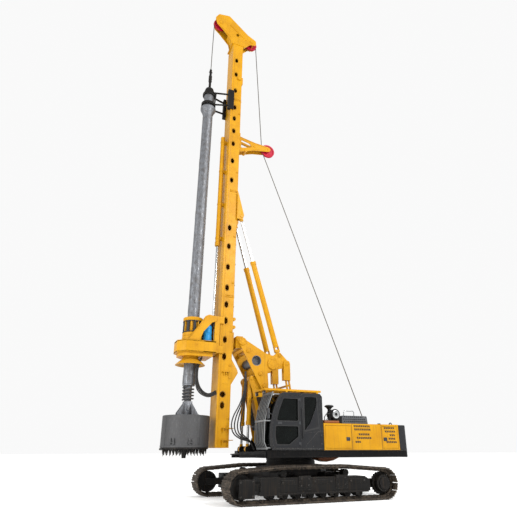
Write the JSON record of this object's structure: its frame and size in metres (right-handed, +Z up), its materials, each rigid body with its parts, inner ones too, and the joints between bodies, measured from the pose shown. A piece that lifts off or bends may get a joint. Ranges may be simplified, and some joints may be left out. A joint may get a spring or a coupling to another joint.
{
  "type": "rotary piling rig",
  "caption": "Tracked rotary piling rig with a parallelogram boom, a tall leaning mast, a sliding rotary drive and a telescopic kelly bar with a drilling bucket.",
  "frame": {"origin": "on the ground, under the middle of the whole machine's length and width", "axes": "+X towards the mast and the drilling tool, +Y to the operator's left, +Z up"},
  "size_m": [8.164, 4.08, 20.1124],
  "materials": {
    "yellow_paint": "satin yellow machine paint, dusty",
    "dark_paint": "satin anthracite machine paint, dusty",
    "black_steel": "matt black coated steel sheet",
    "worn_steel": "bare steel, worn and oily",
    "chromed_rod": "hard chrome, polished",
    "track_steel": "rolled steel shoes, dried earth in the gaps",
    "red_paint": "satin crimson paint",
    "window_glass": "clear tinted sheet glass",
    "seat_cloth": "dark woven cloth"
  },
  "bodies": {
    "undercarriage": {"track_left": "track_steel", "track_right": "track_steel", "track_frame_left": "dark_paint", "track_frame_right": "dark_paint", "final_drive_left": "dark_paint", "final_drive_right": "dark_paint", "carbody": "dark_paint", "slew_ring": "dark_paint"},
    "upper_body": {"platform": "dark_paint", "counterweight": "dark_paint", "engine_housing": "yellow_paint", "engine_block": "dark_paint", "cooling_box": "black_steel", "air_cleaner": "black_steel", "cab_shell": "dark_paint", "windscreen": "window_glass", "seat": "seat_cloth", "console": "black_steel", "cab_roof_guard": "yellow_paint", "cab_front_guard": "dark_paint", "front_walkway": "dark_paint"},
    "cab_door": {"cab_door": "dark_paint", "door_glass": "window_glass"},
    "boom": {"boom": "yellow_paint"},
    "delta_frame": {"delta_frame": "yellow_paint"},
    "support_rods": {"support_rods": "yellow_paint"},
    "cross_head": {"cross_head": "yellow_paint"},
    "mast": {"mast": "yellow_paint", "mast_head": "yellow_paint", "guide_arm": "yellow_paint", "crowd_barrel": "yellow_paint"},
    "rotary_carriage": {"rotary_carriage": "yellow_paint", "crowd_rod": "chromed_rod"},
    "kelly_follower": {"follower_frame": "dark_paint"},
    "kelly_outer": {"kelly_outer": "worn_steel"},
    "kelly_inner": {"kelly_inner": "worn_steel", "bucket_shell": "worn_steel"},
    "bucket_door": {"bucket_door": "dark_paint"},
    "drive_sleeve": {"drive_sleeve": "yellow_paint"},
    "front_sheave": {"front_sheave": "red_paint"},
    "rear_sheave": {"rear_sheave": "red_paint"},
    "guide_pulley": {"guide_pulley": "red_paint"},
    "winch_drum": {"winch_drum": "dark_paint"},
    "left_front_door": {"left_front_door": "yellow_paint"},
    "left_rear_door": {"left_rear_door": "yellow_paint"},
    "right_front_door": {"right_front_door": "yellow_paint"},
    "right_rear_door": {"right_rear_door": "yellow_paint"},
    "engine_hood": {"engine_hood": "yellow_paint"},
    "luff_barrel_left": {"luff_barrel_left": "yellow_paint"},
    "luff_rod_left": {"luff_rod_left": "chromed_rod"},
    "stay_yoke_left": {"stay_yoke_left": "yellow_paint"},
    "stay_barrel_left": {"stay_barrel_left": "yellow_paint"},
    "stay_rod_left": {"stay_rod_left": "chromed_rod"},
    "luff_barrel_right": {"luff_barrel_right": "yellow_paint"},
    "luff_rod_right": {"luff_rod_right": "chromed_rod"},
    "stay_yoke_right": {"stay_yoke_right": "yellow_paint"},
    "stay_barrel_right": {"stay_barrel_right": "yellow_paint"},
    "stay_rod_right": {"stay_rod_right": "chromed_rod"}
  },
  "joints": [
    {"name": "slew", "type": "hinge", "parent": "undercarriage", "child": "upper_body", "pos_m": [-0.272, 0, 1.19], "axis": [0, 0, 1], "continuous": true},
    {"name": "boom_luff", "type": "hinge", "parent": "upper_body", "child": "boom", "pos_m": [0.678, 0, 1.72], "axis": [0, 1, 0], "range_deg": [-12, 6]},
    {"name": "delta_level", "type": "hinge", "parent": "boom", "child": "delta_frame", "pos_m": [0.908, 0, 3.42], "axis": [0, 1, 0], "range_deg": [-6, 12]},
    {"name": "support_rod_swing", "type": "hinge", "parent": "upper_body", "child": "support_rods", "pos_m": [-0.132, 0, 2.475], "axis": [0, 1, 0], "range_deg": [-12, 6]},
    {"name": "luff_barrel_left_swing", "type": "hinge", "parent": "boom", "child": "luff_barrel_left", "pos_m": [1.328, 0.29, 3.65], "axis": [0, 1, 0], "range_deg": [-2, 3]},
    {"name": "luff_rod_left_slide", "type": "slide", "parent": "luff_barrel_left", "child": "luff_rod_left", "axis": [0.025, 0, -0.9997], "range_m": [-0.09, 0.16]},
    {"name": "luff_barrel_right_swing", "type": "hinge", "parent": "boom", "child": "luff_barrel_right", "pos_m": [1.328, -0.29, 3.65], "axis": [0, 1, 0], "range_deg": [-2, 3]},
    {"name": "luff_rod_right_slide", "type": "slide", "parent": "luff_barrel_right", "child": "luff_rod_right", "axis": [0.025, 0, -0.9997], "range_m": [-0.09, 0.16]},
    {"name": "mast_tilt", "type": "hinge", "parent": "delta_frame", "child": "cross_head", "pos_m": [1.718, 0, 4.83], "axis": [0, 1, 0], "range_deg": [-15, 5]},
    {"name": "mast_lateral", "type": "hinge", "parent": "cross_head", "child": "mast", "pos_m": [1.928, 0, 4.83], "axis": [1, 0, 0], "range_deg": [-3, 3]},
    {"name": "stay_yoke_left_swing", "type": "hinge", "parent": "delta_frame", "child": "stay_yoke_left", "pos_m": [0.35, 0.42, 4.459], "axis": [0, 1, 0], "range_deg": [-14, 5]},
    {"name": "stay_barrel_left_sway", "type": "hinge", "parent": "stay_yoke_left", "child": "stay_barrel_left", "pos_m": [0.3975, 0.41685, 4.6222], "axis": [0.9602, 0, -0.2795], "range_deg": [-3, 3]},
    {"name": "stay_rod_left_slide", "type": "slide", "parent": "stay_barrel_left", "child": "stay_rod_left", "axis": [0.2794, -0.0185, 0.96], "range_m": [-0.35, 0.12]},
    {"name": "stay_yoke_right_swing", "type": "hinge", "parent": "delta_frame", "child": "stay_yoke_right", "pos_m": [0.35, -0.42, 4.459], "axis": [0, 1, 0], "range_deg": [-14, 5]},
    {"name": "stay_barrel_right_sway", "type": "hinge", "parent": "stay_yoke_right", "child": "stay_barrel_right", "pos_m": [0.3975, -0.41685, 4.6222], "axis": [0.9602, 0, -0.2795], "range_deg": [-3, 3]},
    {"name": "stay_rod_right_slide", "type": "slide", "parent": "stay_barrel_right", "child": "stay_rod_right", "axis": [0.2794, 0.0185, 0.96], "range_m": [-0.35, 0.12]},
    {"name": "crowd_slide", "type": "slide", "parent": "mast", "child": "rotary_carriage", "axis": [0, 0, 1], "range_m": [-2.2, 1.9]},
    {"name": "kelly_lift", "type": "slide", "parent": "rotary_carriage", "child": "kelly_follower", "axis": [0, 0, 1], "range_m": [-8, 0.5]},
    {"name": "kelly_spin", "type": "hinge", "parent": "kelly_follower", "child": "kelly_outer", "pos_m": [3.342, 0, 9], "axis": [0, 0, 1], "continuous": true},
    {"name": "kelly_extend", "type": "slide", "parent": "kelly_outer", "child": "kelly_inner", "axis": [0, 0, -1], "range_m": [0, 10]},
    {"name": "bucket_door_swing", "type": "hinge", "parent": "kelly_inner", "child": "bucket_door", "pos_m": [4.032, 0, 1.4537], "axis": [0, -1, 0], "range_deg": [0, 85]},
    {"name": "sleeve_spin", "type": "hinge", "parent": "rotary_carriage", "child": "drive_sleeve", "pos_m": [3.342, 0, 4.8], "axis": [0, 0, 1], "continuous": true},
    {"name": "front_sheave_spin", "type": "hinge", "parent": "mast", "child": "front_sheave", "pos_m": [3.062, 0, 19.55], "axis": [0, 1, 0], "continuous": true},
    {"name": "rear_sheave_spin", "type": "hinge", "parent": "mast", "child": "rear_sheave", "pos_m": [1.558, 0, 18.98], "axis": [0, 1, 0], "continuous": true},
    {"name": "guide_pulley_spin", "type": "hinge", "parent": "mast", "child": "guide_pulley", "pos_m": [0.643, 0, 13.245], "axis": [0, 1, 0], "continuous": true},
    {"name": "winch_spin", "type": "hinge", "parent": "upper_body", "child": "winch_drum", "pos_m": [-3.312, 0, 1.9], "axis": [0, 1, 0], "continuous": true},
    {"name": "cab_door_swing", "type": "hinge", "parent": "upper_body", "child": "cab_door", "pos_m": [0.066, 1.495, 1.5], "axis": [0, 0, 1], "range_deg": [0, 110]},
    {"name": "left_front_door_swing", "type": "hinge", "parent": "upper_body", "child": "left_front_door", "pos_m": [-0.81, 1.495, 1.46], "axis": [0, 0, -1], "range_deg": [0, 85]},
    {"name": "left_rear_door_swing", "type": "hinge", "parent": "upper_body", "child": "left_rear_door", "pos_m": [-3.614, 1.495, 1.46], "axis": [0, 0, 1], "range_deg": [0, 100]},
    {"name": "right_front_door_swing", "type": "hinge", "parent": "upper_body", "child": "right_front_door", "pos_m": [-0.81, -1.495, 1.46], "axis": [0, 0, 1], "range_deg": [0, 85]},
    {"name": "right_rear_door_swing", "type": "hinge", "parent": "upper_body", "child": "right_rear_door", "pos_m": [-3.614, -1.495, 1.46], "axis": [0, 0, -1], "range_deg": [0, 100]},
    {"name": "engine_hood_lift", "type": "hinge", "parent": "upper_body", "child": "engine_hood", "pos_m": [-0.98, 0, 2.223], "axis": [0, 1, 0], "range_deg": [0, 60]}
  ],
  "couplings": [
    {"joint": "delta_level", "follows": "boom_luff", "ratio": -1},
    {"joint": "support_rod_swing", "follows": "boom_luff", "ratio": 1},
    {"joint": "luff_barrel_left_swing", "follows": "boom_luff", "ratio": -0.1449},
    {"joint": "luff_rod_left_slide", "follows": "boom_luff", "m_per_rad": -0.68},
    {"joint": "luff_barrel_right_swing", "follows": "boom_luff", "ratio": -0.1449},
    {"joint": "luff_rod_right_slide", "follows": "boom_luff", "m_per_rad": -0.68},
    {"joint": "stay_yoke_left_swing", "follows": "mast_tilt", "ratio": 0.88},
    {"joint": "stay_barrel_left_sway", "follows": "mast_lateral", "ratio": 0.94},
    {"joint": "stay_rod_left_slide", "follows": "mast_tilt", "m_per_rad": 1.2644},
    {"joint": "stay_yoke_right_swing", "follows": "mast_tilt", "ratio": 0.88},
    {"joint": "stay_barrel_right_sway", "follows": "mast_lateral", "ratio": 0.94},
    {"joint": "stay_rod_right_slide", "follows": "mast_tilt", "m_per_rad": 1.2644},
    {"joint": "sleeve_spin", "follows": "kelly_spin", "ratio": 1}
  ]
}
